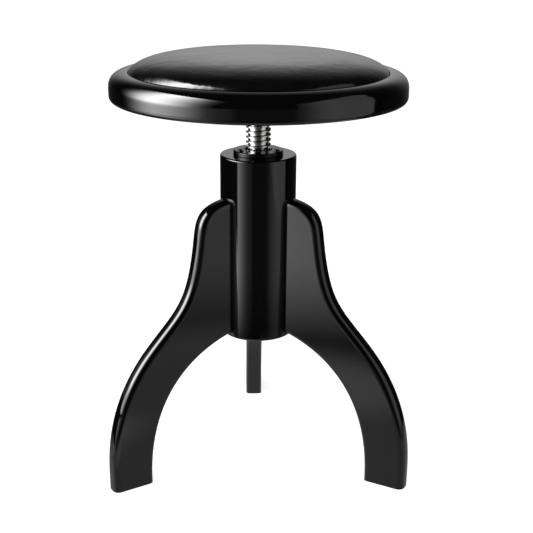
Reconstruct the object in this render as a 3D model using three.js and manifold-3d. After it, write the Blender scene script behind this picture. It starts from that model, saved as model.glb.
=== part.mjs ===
// A revolving stool with a screw-lift seat: three plank legs doweled to a turned column, a flanged
// nut let into the top of the column, and a threaded spindle that carries the round padded seat.
// Millimetres, +Z up, floor at z = 0. The seat stands at the height at which it was photographed.

import * as THREE from 'three';
import { mergeVertices } from 'three/addons/utils/BufferGeometryUtils.js';
import Module from 'manifold-3d';

const wasm = await Module();
wasm.setup();

// Gap between pieces that rest on or fit into each other, and how far a cutter runs past its work
const fit = 0.3;
const overrun = 5;

// Column: turned, bored from the top for the nut and the spindle
const columnDiameter = 92;
const columnLow = 171;
const columnHeight = 226;
const columnTopBevel = 1.5;
const columnBottomRounding = 3;
const boreSpare = 7;

// Legs: one plank outline, set out as shares of its span, from the column out to the foot, and of
// the height of its shoulder or of its arch
const legNames = ['leg_back', 'leg_left', 'leg_right'];
const firstLegAngle = 90;
const legReach = 207.6;
const footWidth = 50;
const legThickness = 22;
const legEdgeRounding = 5;
const shoulderDrop = 51;
const archRise = 5.5;
const shoulderShares = [[0.202, 0.982], [0.23, 0.949], [0.25, 0.872]];
const hollowShares = [[0.312, 0.638], [0.4, 0.631], [0.649, 0.507]];
const shinShares = [[1.031, 0.318], [1, 0.111], [1, 0.029]];
const archShares = [[0.653, 0.868], [1, 0.547], [1, 0.04]];

// Dowels that join each leg to the column
const dowelCount = 3;
const dowelDiameter = 10;
const dowelLength = 40;
const dowelInColumn = 16;
const dowelChamfer = 1;
const dowelMargin = 28;

// Flanged nut
const nutFlangeDiameter = 60;
const nutFlangeThickness = 5;
const nutFlangeEdge = 1.2;
const nutBodyDiameter = 42;
const nutDepth = 35;
const nutMouth = 1.8;
const nutScrewCount = 3;
const nutScrewCircle = 50;
const nutScrew = { shank: 4, head: 7.2, headHeight: 2.2, length: 25 };

// Lift screw: a right-hand trapezoidal thread, and how far it climbs in one turn
const threadDiameter = 30;
const threadRootDiameter = 24.5;
const threadLead = 6;
const threadCrest = 1.5;
const threadFlank = 0.9;
const threadClearance = 0.4;
const threadLowLand = 1.5;
const threadHighLand = 2.5;
const downTravel = 48;
const upTravel = 72;

// Stop bolt and guide washer at the foot of the lift screw
const stopBolt = { shank: 10, length: 20, acrossFlats: 16, headHeight: 6.4, tip: 1 };
const washerThickness = 3;
const washerEdge = 0.6;
const washerClearance = 1;

// Seat plate: a steel disc with a boss, welded to the top of the spindle
const plateDiameter = 120;
const plateThickness = 5;
const plateEdge = 1;
const bossDiameter = 38;
const bossHeight = 7.6;
const plateScrewCount = 4;
const plateScrewCircle = 92;
const plateScrew = { shank: 5, head: 9.4, headHeight: 2.8, length: 16 };

// Seat board: a turned disc with a rounded rim and a round recess for the pad
const seatDiameter = 350;
const rimWidth = 24;
const boardThickness = 32.5;
const rimLowerRounding = 9;
const rimUpperRoundingWidth = 19;
const rimUpperRoundingDepth = 15;
const recessDepth = 18;
const recessLip = 2;
const recessClearance = 1;

// Pad: a plywood disc, a foam dome and a leather cover pulled over both and hemmed underneath
const padDiameter = seatDiameter - 2 * rimWidth;
const crownRise = 22.4;
const creaseDepth = 2.5;
const padDrawIn = 1;
const coverThickness = 1.5;
const hemWidth = 24;
const padBoardThickness = 8;
const padScrewCount = 4;
const padScrewInset = 51;
const padScrewCircle = padDiameter - 2 * padScrewInset;
const padScrew = { shank: 4, head: 8, headHeight: 2.6, length: 22 };
const crownRunPower = 4.3;
const crownRisePower = 1.9;

// How screw heads are shaped, as shares of the head's radius and height
const panTopShare = 0.7;
const panSideShare = 0.55;

// How finely round shapes are faceted
const seatFacets = 72;
const padFacets = 48;
const columnFacets = 72;
const plateFacets = 36;
const threadFacets = 16;
const smallFacets = 12;
const hexFacets = 6;
const arcSteps = 4;
const domeSteps = 9;
const curveSteps = 8;
const archSteps = 12;
const edgeSteps = 3;
const tapLeadTurns = 3;

// Heights, from the column up
const columnRadius = columnDiameter / 2;
const columnHigh = columnLow + columnHeight;
const nutFlangeLow = columnHigh + fit;
const nutTop = nutFlangeLow + nutFlangeThickness;
const nutLow = columnHigh - nutDepth;
const bossLow = nutTop + fit + downTravel;
const plateLow = bossLow + bossHeight;
const plateHigh = plateLow + plateThickness;
const boardLow = plateHigh + fit;
const rimTop = boardLow + boardThickness;
const recessFloor = rimTop - recessDepth;
const crease = rimTop - creaseDepth;

// Heights, from the nut down to the foot of the spindle. Raised all the way, the guide washer
// meets the nut; lowered all the way, the boss meets the nut's flange.
const spindleEnd = nutLow - upTravel;
const washerHigh = spindleEnd - fit;
const washerLow = washerHigh - washerThickness;
const boltHeadHigh = washerLow - fit;
const boltHeadLow = boltHeadHigh - stopBolt.headHeight;
const boreLow = boltHeadLow - downTravel - boreSpare;
const boreRadius = nutBodyDiameter / 2 + fit;
const washerRadius = boreRadius - washerClearance;

// The box of the whole stool is centred on the origin: the back leg reaches further than the seat
const seatRadius = seatDiameter / 2;
const axisY = (seatRadius - legReach) / 2;

const lacquer = new THREE.MeshStandardMaterial({ color: 0x060606, roughness: 0.08, metalness: 0 });
const leather = new THREE.MeshStandardMaterial({ color: 0x101010, roughness: 0.45, metalness: 0 });
const foam = new THREE.MeshStandardMaterial({ color: 0xd8cfae, roughness: 0.95, metalness: 0 });
const plywood = new THREE.MeshStandardMaterial({ color: 0xb9935f, roughness: 0.8, metalness: 0 });
const beech = new THREE.MeshStandardMaterial({ color: 0xc79a6b, roughness: 0.7, metalness: 0 });
const steel = new THREE.MeshStandardMaterial({ color: 0xc4c4c2, roughness: 0.25, metalness: 1 });
const blackSteel = new THREE.MeshStandardMaterial({ color: 0x0c0c0c, roughness: 0.35, metalness: 0.6 });
const zinc = new THREE.MeshStandardMaterial({ color: 0x9b9c9c, roughness: 0.4, metalness: 1 });
const nylon = new THREE.MeshStandardMaterial({ color: 0x202020, roughness: 0.6, metalness: 0 });

const stool = new THREE.Group();
stool.position.y = axisY;

function add(name, geometry, material) {
  const mesh = new THREE.Mesh(geometry, material);
  mesh.name = name;
  stool.add(mesh);
  return mesh;
}

// A closed geometry with its shared corners merged, as a solid that can be joined and cut
const faceCorners = 3;
function solidFrom(geometry) {
  const bare = geometry.clone();
  bare.deleteAttribute('normal');
  bare.deleteAttribute('uv');
  const merged = mergeVertices(bare);
  const corners = Array.from(merged.index.array);
  const faces = [];
  for (let at = 0; at < corners.length; at += faceCorners) {
    const [a, b, c] = corners.slice(at, at + faceCorners);
    if (a !== b && b !== c && c !== a) faces.push(a, b, c);
  }
  const vertProperties = new Float32Array(merged.attributes.position.array);
  return new wasm.Manifold(new wasm.Mesh({ numProp: 3, vertProperties, triVerts: new Uint32Array(faces) }));
}

function geometryFrom(solid) {
  const { vertProperties, triVerts } = solid.getMesh();
  const geometry = new THREE.BufferGeometry();
  geometry.setAttribute('position', new THREE.BufferAttribute(vertProperties, 3));
  geometry.setIndex(new THREE.BufferAttribute(triVerts, 1));
  geometry.computeVertexNormals();
  return geometry;
}

function cut(blank, cutters) {
  const rest = cutters.reduce((solid, cutter) => solid.subtract(solidFrom(cutter)), solidFrom(blank));
  return geometryFrom(rest);
}

// A profile of [radius, height] pairs, listed anticlockwise, turned about Z
function turned(profile, facets) {
  const points = profile.map(([radius, height]) => new THREE.Vector2(radius, height));
  return new THREE.LatheGeometry(points, facets).rotateX(Math.PI / 2);
}

function rod(radius, low, high, facets) {
  return turned([[0, low], [radius, low], [radius, high], [0, high]], facets);
}

// Points of an arc about a centre, from one angle to the other, in degrees
function arc(radius, height, width, depth, from, to) {
  return Array.from({ length: arcSteps + 1 }, (_, step) => {
    const angle = THREE.MathUtils.degToRad(from + ((to - from) * step) / arcSteps);
    return [radius + width * Math.cos(angle), height + depth * Math.sin(angle)];
  });
}

// A place on a circle about the axis, one of several evenly spaced from an angle in degrees
function places(count, circle, firstAngle) {
  return Array.from({ length: count }, (_, place) => {
    const angle = THREE.MathUtils.degToRad(firstAngle + (360 * place) / count);
    return [(circle / 2) * Math.cos(angle), (circle / 2) * Math.sin(angle)];
  });
}

// A pan-head screw pointing up: its head hangs below height zero and its shank rises from there
function panScrew({ shank, head, headHeight, length }) {
  const profile = [
    [0, -headHeight],
    [(head / 2) * panTopShare, -headHeight],
    [head / 2, -headHeight * panSideShare],
    [head / 2, 0],
    [shank / 2, 0],
    [shank / 2, length - shank],
    [0, length],
  ];
  return turned(profile, smallFacets);
}

function screwHole({ shank, length }) {
  return rod(shank / 2 + fit, -overrun, length + fit, smallFacets);
}

// A rod with a right-hand thread that runs out to the root at both ends. At angle zero the ridge
// is centred half a turn's climb above start, so a tap that starts whole turns away cuts its nut.
function threadedRod({ low, high, start, turns, clearance }) {
  const root = threadRootDiameter / 2 + clearance;
  const depth = (threadDiameter - threadRootDiameter) / 2;
  const halfCrest = threadCrest / 2 + clearance;
  const halfRidge = halfCrest + threadFlank;
  const levels = [-halfRidge, -halfCrest, halfCrest, halfRidge].map((rise) => threadLead / 2 + rise);
  const ridge = [0, 1, 1, 0];
  const rows = levels.length * turns;
  const positions = [];
  const vertex = (radius, angle, height) => {
    positions.push(radius * Math.cos(angle), radius * Math.sin(angle), height);
    return positions.length / 3 - 1;
  };
  const angleOf = (facet) => (2 * Math.PI * facet) / threadFacets;
  // How much of the ridge stands at a place along the thread: all of it but for its first and last turn
  const standing = (along) => THREE.MathUtils.clamp(Math.min(along - 1, turns - along), 0, 1);
  // The first column is a turn longer, because the thread comes round to it a turn higher
  const columns = Array.from({ length: threadFacets }, (_, facet) => {
    const rowCount = facet === 0 ? rows + levels.length : rows;
    return Array.from({ length: rowCount + 1 }, (__, row) => {
      const level = row % levels.length;
      const along = (row - level) / levels.length + facet / threadFacets;
      const radius = root + depth * ridge[level] * standing(along);
      return vertex(radius, angleOf(facet), start + levels[level] + threadLead * along);
    });
  });
  const ring = (height) => columns.map((_, facet) => vertex(root, angleOf(facet), height));
  const [lowRing, highRing] = [ring(low), ring(high)];
  const [lowCentre, highCentre] = [vertex(0, 0, low), vertex(0, 0, high)];
  const faces = [];
  columns.forEach((column, facet) => {
    const next = (facet + 1) % threadFacets;
    const climb = next === 0 ? levels.length : 0;
    const right = (row) => columns[next][row + climb];
    for (let row = 0; row < rows; row += 1) {
      faces.push(column[row], right(row), right(row + 1), column[row], right(row + 1), column[row + 1]);
    }
    // Plain rod below the thread, and its end
    faces.push(lowRing[facet], lowRing[next], column[0]);
    const rightEdge = [lowRing[next], ...columns[next].slice(0, climb + 1)];
    rightEdge.slice(1).forEach((corner, at) => faces.push(rightEdge[at], corner, column[0]));
    faces.push(lowCentre, lowRing[next], lowRing[facet]);
    // Plain rod above the thread, and its end
    faces.push(column[rows], right(rows), highRing[next]);
    const leftEdge = [...column.slice(rows), highRing[facet]];
    leftEdge.slice(1).forEach((corner, at) => faces.push(leftEdge[at], highRing[next], corner));
    faces.push(highCentre, highRing[facet], highRing[next]);
  });
  const geometry = new THREE.BufferGeometry();
  geometry.setAttribute('position', new THREE.Float32BufferAttribute(positions, 3));
  geometry.setIndex(faces);
  return geometry;
}

// Legs

// Points along a curve of three [x, z] control points after its start
function curve(start, controls, steps) {
  const [a, b, c, d] = [start, ...controls].map(([x, z]) => new THREE.Vector2(x, z));
  return new THREE.CubicBezierCurve(a, b, c, d).getPoints(steps).map(({ x, y }) => [x, y]);
}

function legOutline() {
  const shoulderHeight = columnHigh - shoulderDrop;
  const archHeight = columnLow + archRise;
  const span = legReach - columnRadius;
  const archSpan = span - footWidth;
  const place = (width, height) => ([run, rise]) => [columnRadius + run * width, rise * height];
  const root = columnRadius / 2;
  const arch = curve([columnRadius, archHeight], archShares.map(place(archSpan, archHeight)), archSteps);
  let outer = [[columnRadius, shoulderHeight]];
  for (const shares of [shoulderShares, hollowShares, shinShares]) {
    const stretch = curve(outer.at(-1), shares.map(place(span, shoulderHeight)), curveSteps);
    outer = [...outer, ...stretch.slice(1)];
  }
  return {
    inner: [[root, archHeight], ...arch, [arch.at(-1)[0], -overrun]],
    outer: [[legReach, -overrun], ...outer.reverse(), [root, shoulderHeight]],
  };
}

// An edge of the outline drawn in square to itself, as it is where its rounding meets a side face
function drawnIn(points, inset) {
  return points.map((point, at) => {
    const before = points[Math.max(at - 1, 0)];
    const after = points[Math.min(at + 1, points.length - 1)];
    const run = [after[0] - before[0], after[1] - before[1]];
    const length = Math.hypot(...run);
    return [point[0] - (inset * run[1]) / length, point[1] + (inset * run[0]) / length];
  });
}

// The plank in layers across its thickness, with its edges rounded on both sides
function legBlank() {
  const { inner, outer } = legOutline();
  const layers = [];
  for (const side of [-1, 1]) {
    for (let step = 0; step <= edgeSteps; step += 1) {
      const angle = (Math.PI / 2) * (side < 0 ? 1 - step / edgeSteps : step / edgeSteps);
      const across = side * (legThickness / 2 - legEdgeRounding * (1 - Math.sin(angle)));
      const inset = legEdgeRounding * (1 - Math.cos(angle));
      layers.push({ across, outline: [...drawnIn(inner, inset), ...drawnIn(outer, inset)] });
    }
  }
  const count = layers[0].outline.length;
  const positions = layers.flatMap(({ across, outline }) => outline.flatMap(([x, z]) => [x, across, z]));
  const faces = [];
  const last = (layers.length - 1) * count;
  for (let layer = 0; layer < last; layer += count) {
    for (let at = 0; at < count; at += 1) {
      const [a, b] = [layer + at, layer + ((at + 1) % count)];
      faces.push(a, b + count, b, a, a + count, b + count);
    }
  }
  const face = layers[0].outline.map(([x, z]) => new THREE.Vector2(x, z));
  for (const [a, b, c] of THREE.ShapeUtils.triangulateShape(face, [])) {
    faces.push(a, b, c, last + c, last + b, last + a);
  }
  const geometry = new THREE.BufferGeometry();
  geometry.setAttribute('position', new THREE.Float32BufferAttribute(positions, 3));
  geometry.setIndex(faces);
  return geometry;
}

// Dowels lie along the leg, evenly spaced between its arch and its shoulder
const dowelInner = columnRadius - dowelInColumn;
const lowestDowel = columnLow + archRise + dowelMargin;
const highestDowel = columnHigh - shoulderDrop - dowelMargin;
const dowelHeights = Array.from({ length: dowelCount }, (_, place) => (
  lowestDowel + ((highestDowel - lowestDowel) * place) / (dowelCount - 1)
));

function alongLeg(geometry, height) {
  return geometry.rotateY(Math.PI / 2).translate(0, 0, height);
}

function dowelHoles() {
  const hole = () => rod(dowelDiameter / 2 + fit, dowelInner - fit, dowelInner + dowelLength + fit, smallFacets);
  return dowelHeights.map((height) => alongLeg(hole(), height));
}

function dowel(height) {
  const radius = dowelDiameter / 2;
  const end = dowelInner + dowelLength;
  const profile = [
    [0, dowelInner],
    [radius - dowelChamfer, dowelInner],
    [radius, dowelInner + dowelChamfer],
    [radius, end - dowelChamfer],
    [radius - dowelChamfer, end],
    [0, end],
  ];
  return alongLeg(turned(profile, smallFacets), height);
}

const belowFloor = new THREE.BoxGeometry(2 * (legReach + overrun), 2 * legThickness, 2 * overrun)
  .translate(0, 0, -overrun);
const columnSpace = rod(columnRadius + fit, columnLow, columnHigh, columnFacets);
const legGeometry = cut(legBlank(), [belowFloor, columnSpace, ...dowelHoles()]);

// Evenly spaced about the column, as turns about Z from +X
const legTurns = legNames.map((_, place) => (
  THREE.MathUtils.degToRad(firstLegAngle + (360 * place) / legNames.length)
));

legNames.forEach((name, leg) => {
  add(name, legGeometry, lacquer).rotation.z = legTurns[leg];
  dowelHeights.forEach((height, place) => {
    add(`${name}_dowel_${place + 1}`, dowel(height), beech).rotation.z = legTurns[leg];
  });
});

// Column

function columnBlank() {
  const profile = [
    [0, columnLow],
    ...arc(columnRadius - columnBottomRounding, columnLow + columnBottomRounding,
      columnBottomRounding, columnBottomRounding, -90, 0),
    [columnRadius, columnHigh - columnTopBevel],
    [columnRadius - columnTopBevel, columnHigh],
    [0, columnHigh],
  ];
  return turned(profile, columnFacets);
}

// The nut's screws stand in line with the legs
const nutScrewPlaces = places(nutScrewCount, nutScrewCircle, firstLegAngle);

function placedDown(geometry, [x, y], height) {
  return geometry.rotateX(Math.PI).translate(x, y, height);
}

const nutScrewSeat = nutTop + fit;
const nutScrewHoles = () => nutScrewPlaces.map((place) => placedDown(screwHole(nutScrew), place, nutScrewSeat));
const columnDowelHoles = legTurns.flatMap((turn) => dowelHoles().map((hole) => hole.rotateZ(turn)));
const bore = rod(boreRadius, boreLow, columnHigh + overrun, columnFacets);
add('column', cut(columnBlank(), [bore, ...nutScrewHoles(), ...columnDowelHoles]), lacquer);

// Lift screw, with a tapped hole in its foot for the stop bolt

const threadStart = spindleEnd + threadLowLand;
const threadTurns = Math.floor((bossLow - threadHighLand - threadStart) / threadLead) - 1;
const liftScrewBlank = threadedRod({
  low: spindleEnd, high: plateHigh, start: threadStart, turns: threadTurns, clearance: 0,
});
const stopBoltHole = rod(stopBolt.shank / 2 + fit, spindleEnd - overrun,
  spindleEnd + stopBolt.length + fit, smallFacets);
add('lift_screw', cut(liftScrewBlank, [stopBoltHole]), steel);

// Flanged nut, cut by a tap that is the lift screw's own thread with its clearance

const nutTurns = Math.ceil((nutTop - nutLow) / threadLead);
const tapStart = threadStart + threadLead * (Math.floor((nutLow - threadStart) / threadLead) - tapLeadTurns);
const tapTurns = nutTurns + 2 * tapLeadTurns;
const tap = threadedRod({
  low: tapStart - overrun,
  high: tapStart + threadLead * (tapTurns + 1) + overrun,
  start: tapStart,
  turns: tapTurns,
  clearance: threadClearance,
});

function nutBlank() {
  const flangeRadius = nutFlangeDiameter / 2;
  const profile = [
    [0, nutLow],
    [nutBodyDiameter / 2, nutLow],
    [nutBodyDiameter / 2, nutFlangeLow],
    [flangeRadius, nutFlangeLow],
    [flangeRadius, nutTop - nutFlangeEdge],
    [flangeRadius - nutFlangeEdge, nutTop],
    [0, nutTop],
  ];
  return turned(profile, columnFacets);
}

const mouthRadius = threadDiameter / 2 + threadClearance + nutMouth;
const mouth = turned([[0, nutTop - mouthRadius], [mouthRadius, nutTop], [mouthRadius, nutTop + overrun],
  [0, nutTop + overrun]], threadFacets);
add('flange_nut', cut(nutBlank(), [tap, mouth, ...nutScrewHoles()]), blackSteel);
nutScrewPlaces.forEach((place, at) => {
  add(`nut_screw_${at + 1}`, placedDown(panScrew(nutScrew), place, nutScrewSeat), zinc);
});

// Stop bolt and guide washer

function stopBoltSolid() {
  const { shank, length, acrossFlats, headHeight, tip } = stopBolt;
  const cornerRadius = acrossFlats / 2 / Math.cos(Math.PI / hexFacets);
  const head = turned([[0, boltHeadLow], [cornerRadius, boltHeadLow],
    [cornerRadius, boltHeadLow + headHeight], [0, boltHeadLow + headHeight]], hexFacets);
  const end = spindleEnd + length;
  const shaft = turned([[0, boltHeadLow + headHeight / 2], [shank / 2, boltHeadLow + headHeight / 2],
    [shank / 2, end - tip], [shank / 2 - tip, end], [0, end]], smallFacets);
  return geometryFrom(solidFrom(head).add(solidFrom(shaft)));
}
add('stop_bolt', stopBoltSolid(), zinc);

function washer() {
  const holeRadius = stopBolt.shank / 2 + fit;
  const profile = [
    [holeRadius, washerLow],
    [washerRadius - washerEdge, washerLow],
    [washerRadius, washerLow + washerEdge],
    [washerRadius, washerHigh - washerEdge],
    [washerRadius - washerEdge, washerHigh],
    [holeRadius, washerHigh],
    [holeRadius, washerLow],
  ];
  return turned(profile, plateFacets);
}
add('guide_washer', washer(), nylon);

// Seat plate and its screws

const plateScrewPlaces = places(plateScrewCount, plateScrewCircle, 360 / plateScrewCount / 2);
const plateScrewSeat = plateLow - fit;

function placedUp(geometry, [x, y], height) {
  return geometry.translate(x, y, height);
}

function plateBlank() {
  const holeRadius = threadRootDiameter / 2 + fit;
  const plateRadius = plateDiameter / 2;
  const profile = [
    [holeRadius, bossLow],
    [bossDiameter / 2, bossLow],
    [bossDiameter / 2, plateLow],
    [plateRadius - plateEdge, plateLow],
    [plateRadius, plateLow + plateEdge],
    [plateRadius, plateHigh],
    [holeRadius, plateHigh],
    [holeRadius, bossLow],
  ];
  return turned(profile, plateFacets);
}

const plateScrewHoles = () => plateScrewPlaces.map((place) => placedUp(screwHole(plateScrew), place, plateScrewSeat));
add('seat_plate', cut(plateBlank(), plateScrewHoles()), blackSteel);
plateScrewPlaces.forEach((place, at) => {
  add(`plate_screw_${at + 1}`, placedUp(panScrew(plateScrew), place, plateScrewSeat), zinc);
});

// Seat board

const padRadius = padDiameter / 2;
const recessRadius = padRadius + recessClearance;
const padScrewPlaces = places(padScrewCount, padScrewCircle, 0);
const padScrewSeat = boardLow - fit;
const padScrewHoles = () => padScrewPlaces.map((place) => placedUp(screwHole(padScrew), place, padScrewSeat));

function boardBlank() {
  const profile = [
    [0, boardLow],
    ...arc(seatRadius - rimLowerRounding, boardLow + rimLowerRounding,
      rimLowerRounding, rimLowerRounding, -90, 0),
    ...arc(seatRadius - rimUpperRoundingWidth, rimTop - rimUpperRoundingDepth,
      rimUpperRoundingWidth, rimUpperRoundingDepth, 0, 90),
    ...arc(recessRadius + recessLip, rimTop - recessLip, recessLip, recessLip, 90, 180),
    [recessRadius, recessFloor],
    [0, recessFloor],
  ];
  return turned(profile, seatFacets);
}
add('seat_board', cut(boardBlank(), [...plateScrewHoles(), ...padScrewHoles()]), lacquer);

// Pad

const hemLow = recessFloor + fit;
const hemHigh = hemLow + coverThickness;
const padBoardLow = hemHigh + fit;
const padBoardHigh = padBoardLow + padBoardThickness;
const padWaist = padRadius - padDrawIn;

// A dome's profile from its edge to its apex: full at the shoulder and gently crowned
function dome(radius, rise) {
  return Array.from({ length: domeSteps + 1 }, (_, step) => {
    const angle = (Math.PI / 2) * (1 - step / domeSteps);
    const run = step === domeSteps ? 0 : Math.sin(angle) ** (2 / crownRunPower);
    const lift = step === 0 ? 0 : Math.cos(angle) ** (2 / crownRisePower);
    return [radius * run, crease + rise * lift];
  });
}

function cover() {
  const inside = dome(padRadius - coverThickness, crownRise - coverThickness).reverse();
  const profile = [
    ...inside,
    [padWaist - coverThickness, hemHigh],
    [padWaist - hemWidth, hemHigh],
    [padWaist - hemWidth, hemLow],
    [padWaist - coverThickness, hemLow],
    [padWaist, hemHigh],
    ...dome(padRadius, crownRise),
  ];
  return turned(profile, padFacets);
}

function foamDome() {
  const skin = coverThickness + fit;
  const profile = [
    [0, padBoardHigh + fit],
    [padWaist - skin, padBoardHigh + fit],
    ...dome(padRadius - skin, crownRise - skin),
  ];
  return turned(profile, padFacets);
}

const padBoard = rod(padWaist - coverThickness - fit, padBoardLow, padBoardHigh, padFacets);
add('pad_board', cut(padBoard, padScrewHoles()), plywood);
add('pad_foam', foamDome(), foam);
add('pad_cover', cover(), leather);
padScrewPlaces.forEach((place, at) => {
  add(`pad_screw_${at + 1}`, placedUp(panScrew(padScrew), place, padScrewSeat), zinc);
});

export default stool;
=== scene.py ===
import math

import bmesh
import bpy
from mathutils import Matrix, Vector


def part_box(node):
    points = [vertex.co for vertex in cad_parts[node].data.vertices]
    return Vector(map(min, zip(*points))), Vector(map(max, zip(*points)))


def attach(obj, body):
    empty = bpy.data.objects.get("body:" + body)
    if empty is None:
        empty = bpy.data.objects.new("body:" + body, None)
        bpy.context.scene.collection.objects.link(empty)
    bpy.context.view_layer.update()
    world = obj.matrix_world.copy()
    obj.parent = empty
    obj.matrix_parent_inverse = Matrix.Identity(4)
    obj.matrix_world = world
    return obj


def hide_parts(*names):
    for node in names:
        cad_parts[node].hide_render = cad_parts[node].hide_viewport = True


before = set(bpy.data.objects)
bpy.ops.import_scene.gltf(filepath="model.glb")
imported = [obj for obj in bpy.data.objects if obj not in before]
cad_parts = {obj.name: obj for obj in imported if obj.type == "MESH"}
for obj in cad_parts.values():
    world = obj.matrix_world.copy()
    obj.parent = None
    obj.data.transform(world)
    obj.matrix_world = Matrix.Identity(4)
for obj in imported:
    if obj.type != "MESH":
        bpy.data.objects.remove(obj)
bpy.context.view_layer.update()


# Column. A beech cylinder turned on a lathe and bored from the top, so that the spindle can sink into it.
# It is sprayed with black polyester lacquer, which is rubbed down and buffed to a mirror. Both of its ends
# have a small rounding.

mm = 0.001
column_low, column_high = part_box("column")
column_radius = (column_high.x - column_low.x) / 2
turning_axis = Vector(((column_low.x + column_high.x) / 2, (column_low.y + column_high.y) / 2, 0))
bore_radius = 21.3 * mm
bore_floor = 225 * mm
top_edge = 2 * mm
foot_rounding = 3 * mm
weld = 0.002 * mm
sharp_angle = math.radians(35)


def rounded(corners, parts=7):
    """Gives the outline of (distance, height, rounding) corners, with an arc where the rounding isn't 0."""
    outline = []
    arc_margin = 1.06
    for number, (x, z, rounding) in enumerate(corners):
        here = Vector((x, z))
        if rounding == 0:
            outline.append(here)
            continue
        before = (Vector(corners[number - 1][:2]) - here).normalized()
        after = (Vector(corners[(number + 1) % len(corners)][:2]) - here).normalized()
        half_angle = before.angle(after) / 2
        reach = rounding / math.tan(half_angle)
        centre = here + (before + after).normalized() * rounding / math.sin(half_angle)
        first = (here + before * reach - centre).normalized()
        last = (here + after * reach - centre).normalized()
        outline.append(here + before * reach * arc_margin)
        for part in range(parts + 1):
            outline.append(centre + first.slerp(last, part / parts) * rounding)
        outline.append(here + after * reach * arc_margin)
    return outline


def drawn(name, outline, centre):
    """Draws an outline of (distance, height) points as a chain of edges, standing out from centre along X."""
    bpy.ops.object.select_all(action="DESELECT")
    bpy.ops.mesh.primitive_plane_add(size=mm, location=(centre.x + outline[0][0], centre.y, outline[0][1]))
    piece = bpy.context.object
    piece.name = name
    piece.data.name = name
    bpy.ops.object.mode_set(mode="EDIT")
    bpy.ops.mesh.select_mode(type="VERT")
    bpy.ops.mesh.select_all(action="SELECT")
    bpy.ops.mesh.merge(type="CENTER")
    for start, end in zip(outline, outline[1:]):
        step = (end[0] - start[0], 0, end[1] - start[1])
        bpy.ops.mesh.extrude_vertices_move(TRANSFORM_OT_translate={"value": step})
    bpy.ops.mesh.select_all(action="SELECT")
    return piece


def settled(piece):
    """Leaves edit mode, puts the piece's place into its mesh and shades it smooth but for its sharp edges."""
    bpy.ops.object.mode_set(mode="OBJECT")
    bpy.ops.object.transform_apply(location=True, rotation=True, scale=True)
    bpy.ops.object.shade_smooth_by_angle(angle=sharp_angle)
    return piece


def turned(name, outline, steps=144, centre=turning_axis):
    """Turns an outline round centre, as a lathe does."""
    piece = drawn(name, outline, centre)
    bpy.ops.mesh.spin(steps=steps, angle=2 * math.pi, center=centre, axis=(0, 0, 1))
    bpy.ops.mesh.select_all(action="SELECT")
    bpy.ops.mesh.remove_doubles(threshold=weld)
    bpy.ops.mesh.normals_make_consistent(inside=False)
    return settled(piece)


column = turned("column_turned", rounded([
    (0, column_low.z, 0),
    (column_radius, column_low.z, foot_rounding),
    (column_radius, column_high.z, top_edge),
    (bore_radius, column_high.z, 0),
    (bore_radius, bore_floor, 0),
    (0, bore_floor, 0),
]))
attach(column, "base")
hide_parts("column")


def new_finish(name, **constants):
    """Starts a material, sets its shader's constants, and gives it with its nodes, links and shader."""
    material = bpy.data.materials.new(name)
    material.use_nodes = True
    nodes = material.node_tree.nodes
    shader = nodes["Principled BSDF"]
    for socket, value in constants.items():
        shader.inputs[socket.replace("_", " ")].default_value = value
    return material, nodes, material.node_tree.links, shader


def noise(nodes, links, source, scale, detail=2.0, roughness=0.5, stretch=(1, 1, 1)):
    """Adds a noise texture on the given coordinates, stretched along the axes, and gives its value socket."""
    mapping = nodes.new("ShaderNodeMapping")
    mapping.inputs["Scale"].default_value = stretch
    links.new(source, mapping.inputs["Vector"])
    texture = nodes.new("ShaderNodeTexNoise")
    texture.inputs["Scale"].default_value = scale
    texture.inputs["Detail"].default_value = detail
    texture.inputs["Roughness"].default_value = roughness
    links.new(mapping.outputs["Vector"], texture.inputs["Vector"])
    return texture.outputs["Fac"]


def ranged(nodes, links, value, low, high, start=0.0, end=1.0):
    """Maps a value from low..high to start..end, smoothly and held at both ends."""
    node = nodes.new("ShaderNodeMapRange")
    node.interpolation_type = "SMOOTHSTEP"
    node.inputs["From Min"].default_value = low
    node.inputs["From Max"].default_value = high
    node.inputs["To Min"].default_value = start
    node.inputs["To Max"].default_value = end
    links.new(value, node.inputs["Value"])
    return node.outputs["Result"]


def mixed(nodes, links, mask, first, second):
    """Mixes two colours by a mask and gives the colour socket."""
    node = nodes.new("ShaderNodeMix")
    node.data_type = "RGBA"
    node.inputs["A"].default_value = (*first, 1)
    node.inputs["B"].default_value = (*second, 1)
    links.new(mask, node.inputs["Factor"])
    return node.outputs["Result"]


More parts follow.
